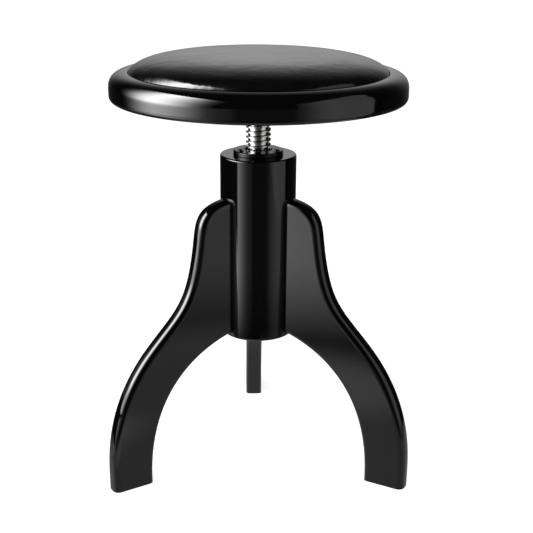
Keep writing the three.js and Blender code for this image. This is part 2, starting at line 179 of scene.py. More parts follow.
def polished_skin():
    """Builds the node group of a sprayed skin: its faint waves, its haze and its dust nibs."""
    group = bpy.data.node_groups.new("polished_skin", "ShaderNodeTree")
    for socket in ("Wave Scale", "Wave Height", "Haze Scale", "Low Roughness", "High Roughness"):
        group.interface.new_socket(socket, in_out="INPUT", socket_type="NodeSocketFloat")
    group.interface.new_socket("Roughness", in_out="OUTPUT", socket_type="NodeSocketFloat")
    group.interface.new_socket("Nibs", in_out="OUTPUT", socket_type="NodeSocketFloat")
    group.interface.new_socket("Normal", in_out="OUTPUT", socket_type="NodeSocketVector")
    nodes, links = group.nodes, group.links
    given = nodes.new("NodeGroupInput")
    result = nodes.new("NodeGroupOutput")
    place = nodes.new("ShaderNodeTexCoord").outputs["Object"]
    waves = nodes.new("ShaderNodeTexNoise")
    waves.inputs["Detail"].default_value = 1
    links.new(place, waves.inputs["Vector"])
    links.new(given.outputs["Wave Scale"], waves.inputs["Scale"])
    bump = nodes.new("ShaderNodeBump")
    bump.inputs["Strength"].default_value = 1
    links.new(waves.outputs["Fac"], bump.inputs["Height"])
    links.new(given.outputs["Wave Height"], bump.inputs["Distance"])
    links.new(bump.outputs["Normal"], result.inputs["Normal"])
    haze = nodes.new("ShaderNodeTexNoise")
    haze.inputs["Detail"].default_value = 5
    haze.inputs["Roughness"].default_value = 0.62
    links.new(place, haze.inputs["Vector"])
    links.new(given.outputs["Haze Scale"], haze.inputs["Scale"])
    spread = nodes.new("ShaderNodeMapRange")
    spread.inputs["From Min"].default_value = 0.38
    spread.inputs["From Max"].default_value = 0.68
    links.new(haze.outputs["Fac"], spread.inputs["Value"])
    links.new(given.outputs["Low Roughness"], spread.inputs["To Min"])
    links.new(given.outputs["High Roughness"], spread.inputs["To Max"])
    links.new(spread.outputs["Result"], result.inputs["Roughness"])
    specks = nodes.new("ShaderNodeTexVoronoi")
    specks.inputs["Scale"].default_value = 90
    links.new(place, specks.inputs["Vector"])
    nibs = ranged(nodes, links, specks.outputs["Distance"], 0.03, 0.05, 1, 0)
    links.new(nibs, result.inputs["Nibs"])
    return group


skin_group = polished_skin()


def with_skin(nodes, links, shader, wave_scale, wave_height, haze_scale, low_roughness, high_roughness):
    """Puts the polished skin on a material and gives the mask of its dust nibs."""
    skin = nodes.new("ShaderNodeGroup")
    skin.node_tree = skin_group
    skin.inputs["Wave Scale"].default_value = wave_scale
    skin.inputs["Wave Height"].default_value = wave_height
    skin.inputs["Haze Scale"].default_value = haze_scale
    skin.inputs["Low Roughness"].default_value = low_roughness
    skin.inputs["High Roughness"].default_value = high_roughness
    links.new(skin.outputs["Roughness"], shader.inputs["Roughness"])
    links.new(skin.outputs["Normal"], shader.inputs["Normal"])
    return skin.outputs["Nibs"]


lacquer, nodes, links, shader = new_finish("buffed_black_lacquer")
nibs = with_skin(nodes, links, shader, wave_scale=55, wave_height=0.004 * mm, haze_scale=26,
                 low_roughness=0.025, high_roughness=0.05)
lacquer_colour = mixed(nodes, links, nibs, (0.0015, 0.0015, 0.0016), (0.005, 0.005, 0.005))
links.new(lacquer_colour, shader.inputs["Base Color"])
column.data.materials.append(lacquer)


# Legs. Three planks of beech, sawn to one curved outline, then glued and dowelled to the column a third of a
# turn apart. Both long edges are rounded with a router, the outer one more, before the black lacquer goes
# on, and the feet are sawn flat.

leg_thickness = 22 * mm
outer_rounding = 8.1 * mm
arch_rounding = 5 * mm
leg_top = 346 * mm
arch_top = 176.5 * mm
leg_sink = 0.1 * mm
leg_start = math.sqrt(column_radius ** 2 - (leg_thickness / 2) ** 2) - leg_sink
shoulder = [(46, 346), (78.6, 339.8), (83.2, 328.4), (86.4, 301.7)]
hollow = [(86.4, 301.7), (96.4, 220.7), (110.6, 218.3), (150.9, 175.4)]
shin = [(150.9, 175.4), (212.6, 110), (207.6, 38.4), (207.6, 10)]
arch = [(157.6, 7.1), (157.6, 96.5), (118.9, 153.2), (46, 176.5)]
outline_tolerance = 0.01 * mm
edge_line = 0.3 * mm
# The real planks are this much fuller all round than the four curves above
fullness = 0.9 * mm


def curve(ends, parts):
    """Gives the points of a cubic curve between its first and last point, in metres."""
    a, b, c, d = (Vector(point) * mm for point in ends)
    points = []
    for part in range(parts + 1):
        t = part / parts
        s = 1 - t
        points.append(a * s ** 3 + b * 3 * s * s * t + c * 3 * s * t * t + d * t ** 3)
    return points


def widened(line):
    """Moves a line of the leg's outline out from the wood by the fullness, square to the line."""
    moved = []
    for number, point in enumerate(line):
        run = (line[min(number + 1, len(line) - 1)] - line[max(number - 1, 0)]).normalized()
        moved.append(point + Vector((-run.y, run.x)) * fullness)
    return moved


outer_line = [Vector((leg_start, leg_top))] + curve(shoulder, 22)
outer_line += curve(hollow, 26)[1:] + curve(shin, 28)[1:]
outer_line = widened(outer_line + [Vector((outer_line[-1].x, 0))])
arch_line = widened([Vector((arch[0][0] * mm, 0))] + curve(arch, 44) + [Vector((leg_start, arch_top))])


def selected_faces(piece, wanted):
    """Selects, in edit mode, the faces that wanted() picks by their centre and normal."""
    bpy.ops.mesh.select_mode(type="FACE")
    bpy.ops.mesh.select_all(action="DESELECT")
    form = bmesh.from_edit_mesh(piece.data)
    for face in form.faces:
        face.select_set(bool(wanted(face.calc_center_median(), face.normal)))
    bmesh.update_edit_mesh(piece.data)


def selected_edges(piece, wanted):
    """Selects, in edit mode, the edges that wanted() picks by their two ends."""
    bpy.ops.mesh.select_mode(type="EDGE")
    bpy.ops.mesh.select_all(action="DESELECT")
    form = bmesh.from_edit_mesh(piece.data)
    for edge in form.edges:
        edge.select_set(bool(wanted(edge.verts[0].co, edge.verts[1].co)))
    bmesh.update_edit_mesh(piece.data)


def along(line):
    """Gives a test that is true for an edge on a side of the plank that runs along a line of its outline."""
    def wanted(first, last):
        level = abs(first.y - last.y) < outline_tolerance
        ends = [Vector((end.x - turning_axis.x, end.z)) for end in (first, last)]
        return level and all(min((end - point).length for point in line) < outline_tolerance for end in ends)
    return wanted


leg = drawn("leg_sawn", outer_line + arch_line, turning_axis)
bpy.ops.mesh.edge_face_add()
bpy.ops.transform.translate(value=(0, -leg_thickness / 2, 0))
bpy.ops.mesh.extrude_region_move(TRANSFORM_OT_translate={"value": (0, leg_thickness, 0)})
bpy.ops.mesh.select_all(action="SELECT")
bpy.ops.mesh.normals_make_consistent(inside=False)
bpy.ops.object.mode_set(mode="OBJECT")
bpy.ops.object.transform_apply(location=True)
bpy.ops.object.mode_set(mode="EDIT")
selected_edges(leg, along(outer_line))
bpy.ops.mesh.bevel(offset=outer_rounding, segments=12, profile=0.5, clamp_overlap=False)
selected_edges(leg, along(arch_line))
bpy.ops.mesh.bevel(offset=arch_rounding, segments=8, profile=0.5, clamp_overlap=False)
selected_faces(leg, lambda centre, normal: abs(normal.y) > 0.9999)
bpy.ops.mesh.inset(thickness=edge_line, depth=0)
settled(leg)
leg.data.materials.append(lacquer)


def turned_to(piece, name, angle):
    """Copies a piece with its own mesh, turned round the turning axis, and gives the copy."""
    copy = piece.copy()
    copy.data = piece.data.copy()
    copy.name = name
    copy.data.name = name
    bpy.context.collection.objects.link(copy)
    place = Matrix.Translation(turning_axis)
    copy.data.transform(place @ Matrix.Rotation(angle, 4, "Z") @ place.inverted())
    return copy


for side, degrees in (("back", 90), ("left", 210), ("right", 330)):
    fitted = turned_to(leg, f"leg_{side}_shaped", math.radians(degrees))
    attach(fitted, "base")
    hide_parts(f"leg_{side}")
bpy.data.objects.remove(leg)


# Dowels. Nine bare beech dowels, three to a leg, glued into the column and the leg. They are cut from rod, so
# their surface is plain. Nothing of them shows once the legs are on.

beech, nodes, links, shader = new_finish("bare_beech", Roughness=0.62)
place = nodes.new("ShaderNodeTexCoord").outputs["Object"]
grain = noise(nodes, links, place, scale=900, detail=4, roughness=0.6, stretch=(1, 1, 0.05))
links.new(mixed(nodes, links, grain, (0.66, 0.46, 0.29), (0.50, 0.33, 0.19)), shader.inputs["Base Color"])
pores = nodes.new("ShaderNodeBump")
pores.inputs["Distance"].default_value = 0.05 * mm
links.new(grain, pores.inputs["Height"])
links.new(pores.outputs["Normal"], shader.inputs["Normal"])


def dressed(node, material):
    """Gives a CAD node that stays as it is its own finish."""
    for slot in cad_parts[node].material_slots:
        slot.material = material


for side in ("back", "left", "right"):
    for number in (1, 2, 3):
        dressed(f"leg_{side}_dowel_{number}", beech)


# Flanged nut. A turned steel nut, pressed into the bore of the column, with a round flange on the top face.
# Its trapezoidal thread carries the spindle. It is enamelled black, and its mouth is countersunk.

nut_low, nut_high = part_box("flange_nut")
flange_radius = (nut_high.x - nut_low.x) / 2
flange_thickness = 5 * mm
nut_body_radius = 21 * mm
thread_crest = 15 * mm
thread_root = 12.25 * mm
thread_pitch = 6 * mm
thread_gap = 0.35 * mm
crest_width = 1.5 * mm
flank = 0.9 * mm
crest_edge = 0.22 * mm
ridge_sink = 0.5 * mm
# A ridge comes up from its bar to its full height in 1 / run_out turns
run_out = 1.4
mouth = 1.8 * mm
first_ridge = 294.5 * mm
thread_steps = 72


def helix_ridge(name, base_radius, top_radius, start_height, turns):
    """Winds a trapezoidal ridge round the turning axis, a pitch a turn, which runs out at both ends."""
    outwards = -1 if top_radius < base_radius else 1
    sunk = base_radius - outwards * ridge_sink
    half_base = crest_width / 2 + flank
    corners = rounded([
        (sunk, -half_base, 0),
        (base_radius, -half_base, 0),
        (top_radius, -crest_width / 2, crest_edge),
        (top_radius, crest_width / 2, crest_edge),
        (base_radius, half_base, 0),
        (sunk, half_base, 0),
    ], 3)
    outline = [(x, start_height + z) for x, z in corners]
    ridge = drawn(name, outline + [outline[0]], turning_axis)
    bpy.ops.mesh.remove_doubles(threshold=weld)
    bpy.ops.object.mode_set(mode="OBJECT")
    bpy.context.scene.cursor.location = turning_axis
    bpy.ops.object.origin_set(type="ORIGIN_CURSOR")
    winding = ridge.modifiers.new("winding", "SCREW")
    winding.axis = "Z"
    winding.angle = 2 * math.pi
    winding.screw_offset = thread_pitch
    winding.iterations = turns
    winding.steps = thread_steps
    winding.render_steps = thread_steps
    winding.use_merge_vertices = False
    bpy.ops.object.modifier_apply(modifier="winding")
    bpy.ops.object.transform_apply(location=True)
    form = bmesh.new()
    form.from_mesh(ridge.data)
    ends = [edge for edge in form.edges if edge.is_boundary]
    bmesh.ops.holes_fill(form, edges=ends, sides=0)
    for vertex in form.verts:
        out = Vector((vertex.co.x - turning_axis.x, vertex.co.y - turning_axis.y, 0))
        angle = math.atan2(out.y, out.x) % (2 * math.pi)
        centre_height = start_height + thread_pitch * angle / (2 * math.pi)
        turn = round((vertex.co.z - centre_height) / thread_pitch) + angle / (2 * math.pi)
        share = max(0, min(1, turn * run_out, (turns - turn) * run_out))
        share = share * share * (3 - 2 * share)
        wanted = sunk + (out.length - sunk) * share
        vertex.co += out.normalized() * (wanted - out.length)
    bmesh.ops.recalc_face_normals(form, faces=form.faces)
    form.to_mesh(ridge.data)
    form.free()
    bpy.ops.object.shade_smooth_by_angle(angle=math.radians(40))
    return ridge


def joined(*pieces):
    """Joins the pieces into the first one."""
    bpy.ops.object.select_all(action="DESELECT")
    for piece in pieces:
        piece.select_set(True)
    bpy.context.view_layer.objects.active = pieces[0]
    bpy.ops.object.join()


nut_crest = thread_crest + thread_gap
nut = turned("flanged_nut", rounded([
    (nut_crest, nut_low.z, 0),
    (nut_body_radius, nut_low.z, 0.6 * mm),
    (nut_body_radius, nut_high.z - flange_thickness, 0),
    (flange_radius, nut_high.z - flange_thickness, 0.3 * mm),
    (flange_radius, nut_high.z, 1.2 * mm),
    (nut_crest + mouth, nut_high.z, 0.4 * mm),
    (nut_crest, nut_high.z - mouth, 0),
    (nut_crest, nut_low.z, 0),
]))
nut_start = first_ridge + thread_pitch * (math.floor((nut_low.z - first_ridge) / thread_pitch) + 1.5)
nut_turns = int((nut_high.z - mouth - nut_start) / thread_pitch)
joined(nut, helix_ridge("nut_thread", nut_crest, thread_root + thread_gap, nut_start, nut_turns))
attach(nut, "base")
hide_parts("flange_nut")

enamel, nodes, links, shader = new_finish("black_enamel", Specular_IOR_Level=0.25)
nibs = with_skin(nodes, links, shader, wave_scale=130, wave_height=0.006 * mm, haze_scale=70,
                 low_roughness=0.14, high_roughness=0.26)
links.new(mixed(nodes, links, nibs, (0.004, 0.004, 0.004), (0.02, 0.02, 0.02)), shader.inputs["Base Color"])
nut.data.materials.append(enamel)


# Small screws. Pan heads with a cross recess: three hold the flange to the column, four the seat plate to the
# seat board, and four the pad from below. They are zinc-plated steel, black on the flange, bright elsewhere.


def zinc_plating(name, light, dark):
    """Makes the cloudy finish of a zinc plating from its light and its dark colour."""
    plating, nodes, links, shader = new_finish(name, Metallic=1.0)
    place = nodes.new("ShaderNodeTexCoord").outputs["Object"]
    clouds = noise(nodes, links, place, scale=420, detail=3)
    links.new(mixed(nodes, links, clouds, light, dark), shader.inputs["Base Color"])
    links.new(ranged(nodes, links, clouds, 0.3, 0.7, start=0.16, end=0.30), shader.inputs["Roughness"])
    return plating


bright_zinc = zinc_plating("bright_zinc", (0.50, 0.51, 0.53), (0.38, 0.39, 0.41))
black_zinc = zinc_plating("black_zinc", (0.10, 0.10, 0.105), (0.06, 0.06, 0.065))


def pan_screw(name, node, heads_up, plating):
    """Makes a screw with a domed head and a cross recess in the place of its CAD node."""
    low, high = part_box(node)
    centre = Vector(((low.x + high.x) / 2, (low.y + high.y) / 2, 0))
    radius = (high.x - low.x) / 2
    head = radius * 0.62
    length = high.z - low.z
    shank = radius * 0.48
    tip = shank * 2.2
    outline = rounded([
        (0, 0, 0),
        (shank, tip, 0.1 * mm),
        (shank, length - head, 0),
        (radius, length - head, 0.15 * mm),
        (radius, length - head * 0.55, 0.4 * mm),
        (radius * 0.72, length, 0.9 * mm),
        (0, length, 0),
    ], 4)
    screw = turned(name, [(x, low.z + z) for x, z in outline], 40, centre)
    recess_depth = head * 0.75
    for degrees in (20, 110):
        bpy.ops.object.select_all(action="DESELECT")
        place = (centre.x, centre.y, high.z)
        bpy.ops.mesh.primitive_cube_add(size=1, location=place, rotation=(0, 0, math.radians(degrees)))
        cross = bpy.context.object
        cross.scale = (radius * 1.05, radius * 0.26, recess_depth * 2)
        bpy.ops.object.transform_apply(location=True, rotation=True, scale=True)
        cut = screw.modifiers.new("recess", "BOOLEAN")
        cut.object = cross
        cut.operation = "DIFFERENCE"
        cut.solver = "EXACT"
        bpy.context.view_layer.objects.active = screw
        bpy.ops.object.modifier_apply(modifier="recess")
        bpy.data.objects.remove(cross)
    if not heads_up:
        middle = Matrix.Translation((centre.x, centre.y, (low.z + high.z) / 2))
        screw.data.transform(middle @ Matrix.Rotation(math.pi, 4, "X") @ middle.inverted())
    screw.data.materials.clear()
    screw.data.materials.append(plating)
    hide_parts(node)
    return screw


for number in (1, 2, 3):
    flange_screw = pan_screw(f"flange_screw_{number}", f"nut_screw_{number}", True, black_zinc)
    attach(flange_screw, "base")
for number in (1, 2, 3, 4):
    for node in ("plate_screw", "pad_screw"):
        seat_screw = pan_screw(f"{node}_fitted_{number}", f"{node}_{number}", False, bright_zinc)
        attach(seat_screw, "seat")


# Spindle. A bright steel bar with a coarse right-hand trapezoidal thread, turned from the solid and welded
# into the seat plate. The thread runs out a little below the plate. Its zinc-plated stop bolt and its nylon
# guide washer are at its foot.

spindle_low, spindle_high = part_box("lift_screw")
ridge_turns = 24
spindle = turned("spindle_bar", rounded([
    (0, spindle_low.z, 0),
    (thread_root, spindle_low.z, 1 * mm),
    (thread_root, spindle_high.z, 0.5 * mm),
    (0, spindle_high.z, 0),
], 4), 72)
spindle_start = first_ridge + thread_pitch
joined(spindle, helix_ridge("spindle_thread", thread_root, thread_crest, spindle_start, ridge_turns))
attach(spindle, "seat")
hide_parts("lift_screw")

bright, nodes, links, shader = new_finish("turned_bright_steel", Metallic=1.0)
place = nodes.new("ShaderNodeTexCoord").outputs["Object"]
tool_marks = noise(nodes, links, place, scale=60, detail=3, roughness=0.6, stretch=(1, 1, 60))
stains = noise(nodes, links, place, scale=60, detail=4)
links.new(mixed(nodes, links, stains, (0.68, 0.67, 0.65), (0.55, 0.54, 0.52)), shader.inputs["Base Color"])
links.new(ranged(nodes, links, tool_marks, 0.3, 0.7, start=0.07, end=0.14), shader.inputs["Roughness"])
marks = nodes.new("ShaderNodeBump")
marks.inputs["Distance"].default_value = 0.01 * mm
links.new(tool_marks, marks.inputs["Height"])
links.new(marks.outputs["Normal"], shader.inputs["Normal"])
spindle.data.materials.append(bright)

dressed("stop_bolt", bright_zinc)
nylon, nodes, links, shader = new_finish("black_nylon")
place = nodes.new("ShaderNodeTexCoord").outputs["Object"]
mould_texture = noise(nodes, links, place, scale=300, detail=3)
links.new(ranged(nodes, links, mould_texture, 0.3, 0.7, start=0.38, end=0.5), shader.inputs["Roughness"])
flow_marks = noise(nodes, links, place, scale=80)
nylon_colour = mixed(nodes, links, flow_marks, (0.02, 0.02, 0.02), (0.03, 0.03, 0.03))
links.new(nylon_colour, shader.inputs["Base Color"])
dressed("guide_washer", nylon)


# Seat plate. A round of 5 mm steel plate with a short turned boss, in which the spindle is welded. Four
# screws hold it to the seat board. It is enamelled black, as the flange is.

plate_low, plate_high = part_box("seat_plate")
plate_radius = (plate_high.x - plate_low.x) / 2
plate_thickness = 5 * mm
boss_radius = 19 * mm
weld_gap = 0.2 * mm
plate = turned("seat_plate_turned", rounded([
    (thread_root + weld_gap, plate_low.z, 0),
    (boss_radius, plate_low.z, 1.2 * mm),
    (boss_radius, plate_high.z - plate_thickness, 0),
    (plate_radius, plate_high.z - plate_thickness, 0.8 * mm),
    (plate_radius, plate_high.z, 0.4 * mm),
    (thread_root + weld_gap, plate_high.z, 0),
    (thread_root + weld_gap, plate_low.z, 0),
]))
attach(plate, "seat")
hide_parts("seat_plate")
plate.data.materials.append(enamel)


# Seat board. A thick turned disc of glued beech with a full, rounded upper edge and a recess that takes the
# pad. It is lacquered and buffed like the column, and its underside is only sprayed, which leaves it matt.

board_low, board_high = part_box("seat_board")
board_radius = (board_high.x - board_low.x) / 2
upper_width = 23 * mm
upper_depth = 18.5 * mm
upper_power = 2.6
lower_rounding = 6 * mm
recess_radius = 152 * mm
recess_floor = 478 * mm
lip = 2 * mm
upper_parts = 30
under_edge = board_radius - lower_rounding * 0.5

upper_edge = []
for part in range(upper_parts + 1):
    slope = math.pi / 2 * part / upper_parts
    out = math.cos(slope) ** (2 / upper_power)
    climb = math.sin(slope) ** (2 / upper_power)
    edge_radius = board_radius - upper_width * (1 - out)
    if edge_radius > recess_radius + 1.2 * lip:
        upper_edge.append((edge_radius, board_high.z - upper_depth * (1 - climb), 0))
board = turned("seat_board_turned", rounded([
    (0, board_low.z, 0),
    (board_radius, board_low.z, lower_rounding),
    *upper_edge,
    (recess_radius, board_high.z, lip),
    (recess_radius, recess_floor, 0),
    (0, recess_floor, 0),
]), 216)
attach(board, "seat")
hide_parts("seat_board")

sprayed, nodes, links, shader = new_finish("sprayed_underside", Specular_IOR_Level=0.08)
nibs = with_skin(nodes, links, shader, wave_scale=260, wave_height=0.012 * mm, haze_scale=40,
                 low_roughness=0.6, high_roughness=0.75)
links.new(mixed(nodes, links, nibs, (0.006, 0.006, 0.006), (0.02, 0.02, 0.02)), shader.inputs["Base Color"])
board.data.materials.append(lacquer)
board.data.materials.append(sprayed)
for face in board.data.polygons:
    reach = math.hypot(face.center.x - turning_axis.x, face.center.y - turning_axis.y)
    if face.normal.z < -0.99 and reach < under_edge:
        face.material_index = 1


# Pad board. A disc of birch plywood under the foam, which the four pad screws pull down into the recess.
# The leather is drawn round it and stapled underneath, so it never shows.

plywood, nodes, links, shader = new_finish("birch_plywood", Roughness=0.7)
place = nodes.new("ShaderNodeTexCoord").outputs["Object"]
plies = nodes.new("ShaderNodeTexWave")
plies.bands_direction = "Z"
plies.inputs["Scale"].default_value = 200
plies.inputs["Distortion"].default_value = 0.6
links.new(place, plies.inputs["Vector"])
links.new(mixed(nodes, links, plies.outputs["Fac"], (0.62, 0.47, 0.30), (0.44, 0.30, 0.17)),
          shader.inputs["Base Color"])
dressed("pad_board", plywood)


# Pad. A dome of foam under fine black leather, which is stretched over it and drawn in where it meets the lip
# of the recess. The leather is smooth, with a satin finish. Only its fine grain and the foam's faint hollows
# show.

pad_low, pad_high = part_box("pad_cover")
crease = 493.5 * mm
rise = pad_high.z - crease
outer_power = 4.3
rise_power = 1.9
pad_reach = recess_radius - 0.15 * mm
pad_foot = pad_low.z + 0.2 * mm
foot_width, foot_height = 4 * mm, 3 * mm
dome_parts = 30
voxel = 4.5 * mm
start_share = 0.996
pressure = 4
cloth_frames = 20
swell_cap = 1.2 * mm
smooth_height = 6 * mm
side_depth = 8 * mm
hold = 0.88

pad_outline = [(0, pad_foot), (pad_reach - foot_width, pad_foot), (pad_reach, pad_foot + foot_height),
               (pad_reach, crease - foot_height)]
for part in range(dome_parts + 1):
    share = math.cos(math.pi / 2 * part / dome_parts)
    out = pad_reach * share ** 0.6 if part < dome_parts else 0
    height = (1 - (out / pad_reach) ** outer_power) ** (1 / rise_power)
    pad_outline.append((out, crease + rise * height))
pad = turned("leather_pad", pad_outline, 120)
pad.data.materials.clear()


def stretch(point, middle):
    """Gives the factor that takes a point out from the middle, or in, to the dome as it was drawn."""
    out = math.hypot(point.x - middle.x, point.y - middle.y) / pad_reach
    up = max(point.z - middle.z, 0) / rise
    low, high = 0.5, 2.0
    for turn in range(24):
        factor = (low + high) / 2
        if (out * factor) ** outer_power + (up * factor) ** rise_power > 1:
            high = factor
        else:
            low = factor
    return low


def swollen(piece):
    """Fills the closed shape with pressure, as foam fills its cover, and keeps its points near the dome."""
    remesh = piece.modifiers.new("remesh", "REMESH")
    remesh.mode = "VOXEL"
    remesh.voxel_size = voxel
    bpy.context.view_layer.objects.active = piece
    bpy.ops.object.modifier_apply(modifier="remesh")
    middle = Vector((turning_axis.x, turning_axis.y, crease))
    held = piece.vertex_groups.new(name="held")
    top = piece.vertex_groups.new(name="top")
    for vertex in piece.data.vertices:
        if vertex.co.z < crease:
            held.add([vertex.index], 1.0, "REPLACE")
        else:
            top.add([vertex.index], min(1, (vertex.co.z - crease) / smooth_height), "REPLACE")
            vertex.co = middle + (vertex.co - middle) * start_share
    before = [vertex.co.copy() for vertex in piece.data.vertices]
    cloth = piece.modifiers.new("cloth", "CLOTH")
    settings = cloth.settings
    settings.use_pressure = True
    settings.uniform_pressure_force = pressure
    settings.effector_weights.gravity = 0
    settings.vertex_group_mass = "held"
    cloth.collision_settings.use_collision = False
    cloth.point_cache.frame_end = cloth_frames
    for frame_number in range(1, cloth_frames + 1):
        bpy.context.scene.frame_set(frame_number)
    bpy.ops.object.modifier_apply(modifier="cloth")
    for vertex, start in zip(piece.data.vertices, before):
        moved = vertex.co - start
        if moved.length > swell_cap:
            vertex.co = start + moved.normalized() * swell_cap
    bpy.context.scene.frame_set(1)
    soften = piece.modifiers.new("soften", "SMOOTH")
    soften.factor = 0.5
    soften.iterations = 14
    soften.vertex_group = "top"
    bpy.ops.object.modifier_apply(modifier="soften")
    for vertex in piece.data.vertices:
        away = vertex.co - middle
        if away.z > 0:
            vertex.co = middle + away * (1 + hold * (stretch(vertex.co, middle) - 1))
        elif math.hypot(away.x, away.y) > pad_reach - foot_width and away.z > -side_depth:
            share = pad_reach / math.hypot(away.x, away.y)
            vertex.co = middle + Vector((away.x * share, away.y * share, away.z))
    piece.vertex_groups.clear()
    finer = piece.modifiers.new("finer", "SUBSURF")
    finer.levels = 1
    finer.render_levels = 1
    bpy.ops.object.modifier_apply(modifier="finer")


swollen(pad)
bpy.context.view_layer.objects.active = pad
pad.select_set(True)
bpy.ops.object.shade_smooth()
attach(pad, "seat")
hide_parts("pad_cover", "pad_foam")

leather, nodes, links, shader = new_finish("satin_black_leather")
place = nodes.new("ShaderNodeTexCoord").outputs["Object"]
pebbles = nodes.new("ShaderNodeTexVoronoi")
pebbles.feature = "SMOOTH_F1"
pebbles.inputs["Scale"].default_value = 700
pebbles.inputs["Smoothness"].default_value = 0.6
links.new(place, pebbles.inputs["Vector"])
hide = noise(nodes, links, place, scale=32, detail=5, roughness=0.6)
hide_colour = mixed(nodes, links, hide, (0.0012, 0.0012, 0.0013), (0.0035, 0.0035, 0.0037))
links.new(hide_colour, shader.inputs["Base Color"])
links.new(ranged(nodes, links, hide, 0.3, 0.7, start=0.12, end=0.17), shader.inputs["Roughness"])
grain = nodes.new("ShaderNodeBump")
grain.inputs["Distance"].default_value = 0.03 * mm
grain.inputs["Strength"].default_value = 0.6
links.new(pebbles.outputs["Distance"], grain.inputs["Height"])
hollows = nodes.new("ShaderNodeBump")
hollows.inputs["Distance"].default_value = 0.7 * mm
links.new(noise(nodes, links, place, scale=45, detail=3), hollows.inputs["Height"])
links.new(grain.outputs["Normal"], hollows.inputs["Normal"])
links.new(hollows.outputs["Normal"], shader.inputs["Normal"])
pad.data.materials.append(leather)


# Floor. A white floor that is not part of the stool. The camera sees it white but for the stool's soft
# shadow. Polish sees a painted pool of light on it round the feet, brightest at the front left and behind,
# and past that the glow of the studio, from the world.

floor_reach = 14
floor_drop = 0.2 * mm
floor_white = 0.8
camera_lift = 0.62
patch_edges = (0.27, 0.41)
patch_shift = 0.09
front_glow = 0.42
back_glows = (0.4, 0.68)
open_edges = (0.25, 0.85)
least_open = 0.1
floor_place = (0, 0, -floor_drop)

bpy.ops.object.select_all(action="DESELECT")
bpy.ops.mesh.primitive_circle_add(vertices=96, radius=floor_reach, fill_type="NGON", location=floor_place)
floor = bpy.context.object
floor.name = "studio_floor"


def math_node(nodes, links, operation, first, second=None):
    """Adds a math node on sockets or numbers and gives its value socket."""
    node = nodes.new("ShaderNodeMath")
    node.operation = operation
    for number, value in enumerate((first, second)):
        if value is None:
            continue
        if isinstance(value, (int, float)):
            node.inputs[number].default_value = value
        else:
            links.new(value, node.inputs[number])
    return node.outputs[0]


floor_paint = bpy.data.materials.new("floor_paint")
floor_paint.use_nodes = True
floor_paint.cycles.emission_sampling = "NONE"
nodes, links = floor_paint.node_tree.nodes, floor_paint.node_tree.links
nodes.clear()
place = nodes.new("ShaderNodeTexCoord").outputs["Object"]
from_axis = nodes.new("ShaderNodeVectorMath")
from_axis.operation = "DISTANCE"
from_axis.inputs[1].default_value = turning_axis
links.new(place, from_axis.inputs[0])
reach = from_axis.outputs["Value"]
spot = nodes.new("ShaderNodeSeparateXYZ")
links.new(place, spot.inputs["Vector"])
rightwards, backwards = spot.outputs["X"], spot.outputs["Y"]
path = nodes.new("ShaderNodeLightPath")
matt = nodes.new("ShaderNodeBsdfDiffuse")
matt.inputs["Color"].default_value = (floor_white, floor_white, floor_white, 1)
seen = nodes.new("ShaderNodeEmission")
lift = math_node(nodes, links, "MULTIPLY", path.outputs["Is Camera Ray"], camera_lift)
links.new(lift, seen.inputs["Strength"])
lit = nodes.new("ShaderNodeAddShader")
links.new(matt.outputs[0], lit.inputs[0])
links.new(seen.outputs[0], lit.inputs[1])
# Painted light: a pool of light on the floor that only reflections show. It is brighter at the front left,
# where the left soft light falls, and brighter behind, and it fades out round its edge, sooner on the right.
painted_floor_light = nodes.new("ShaderNodeEmission")
shift = ranged(nodes, links, rightwards, -0.1, 0.1, 0, patch_shift)
patch = ranged(nodes, links, math_node(nodes, links, "SUBTRACT", reach, shift), *patch_edges, 1, 0)
front_left = math_node(nodes, links, "MULTIPLY", ranged(nodes, links, rightwards, 0.04, -0.06, 0, front_glow),
                       ranged(nodes, links, backwards, -0.17, -0.23, 0, 1))
behind = ranged(nodes, links, backwards, -0.02, 0.07, *back_glows)
patch = math_node(nodes, links, "MULTIPLY", patch, math_node(nodes, links, "ADD", front_left, behind))
links.new(patch, painted_floor_light.inputs["Strength"])
beyond = nodes.new("ShaderNodeBsdfTransparent")
links.new(ranged(nodes, links, reach, *open_edges, least_open, 1), beyond.inputs["Color"])
mirrored = nodes.new("ShaderNodeAddShader")
links.new(painted_floor_light.outputs[0], mirrored.inputs[0])
links.new(beyond.outputs[0], mirrored.inputs[1])
chosen = nodes.new("ShaderNodeMixShader")
links.new(path.outputs["Is Glossy Ray"], chosen.inputs[0])
links.new(lit.outputs[0], chosen.inputs[1])
links.new(mirrored.outputs[0], chosen.inputs[2])
links.new(chosen.outputs[0], nodes.new("ShaderNodeOutputMaterial").inputs["Surface"])
floor.data.materials.append(floor_paint)


# Lights. A tall soft light at the left and a large grey card at the right, which only polished surfaces show,
# and two plain soft lamps that light everything else. The world is white to the camera and a dim studio to
# polish.

softbox_place, softbox_aim = (-1.06, -0.17, 0.89), (0, 0.05, 0.89)
softbox_size = (2.4, 1.6)
softbox_lean = math.radians(16)
softbox_peak = 21
skirt_peak = 6.5
card_place, card_aim = (1.0, -1.0, 0.8), (0, -1.0, 0.8)
card_size = (2.2, 1.6)
key_place, fill_place, lamp_aim = (-1.3, -0.9, 1.9), (1.5, -1.0, 1.6), (0, 0, 0.3)
key_power, fill_power = 30, 12
lamp_size = 1.6


def hill(nodes, links, value, centre, width, far_width=None):
    """Gives a bell curve of a value: 1 at centre, fading over width below it and over far_width above it."""
    away = math_node(nodes, links, "SUBTRACT", value, centre)
    below = math_node(nodes, links, "DIVIDE", math_node(nodes, links, "MINIMUM", away, 0), width)
    above = math_node(nodes, links, "DIVIDE", math_node(nodes, links, "MAXIMUM", away, 0), far_width or width)
    square = math_node(nodes, links, "ADD", math_node(nodes, links, "MULTIPLY", below, below),
                       math_node(nodes, links, "MULTIPLY", above, above))
    return math_node(nodes, links, "EXPONENT", math_node(nodes, links, "MULTIPLY", square, -0.5))


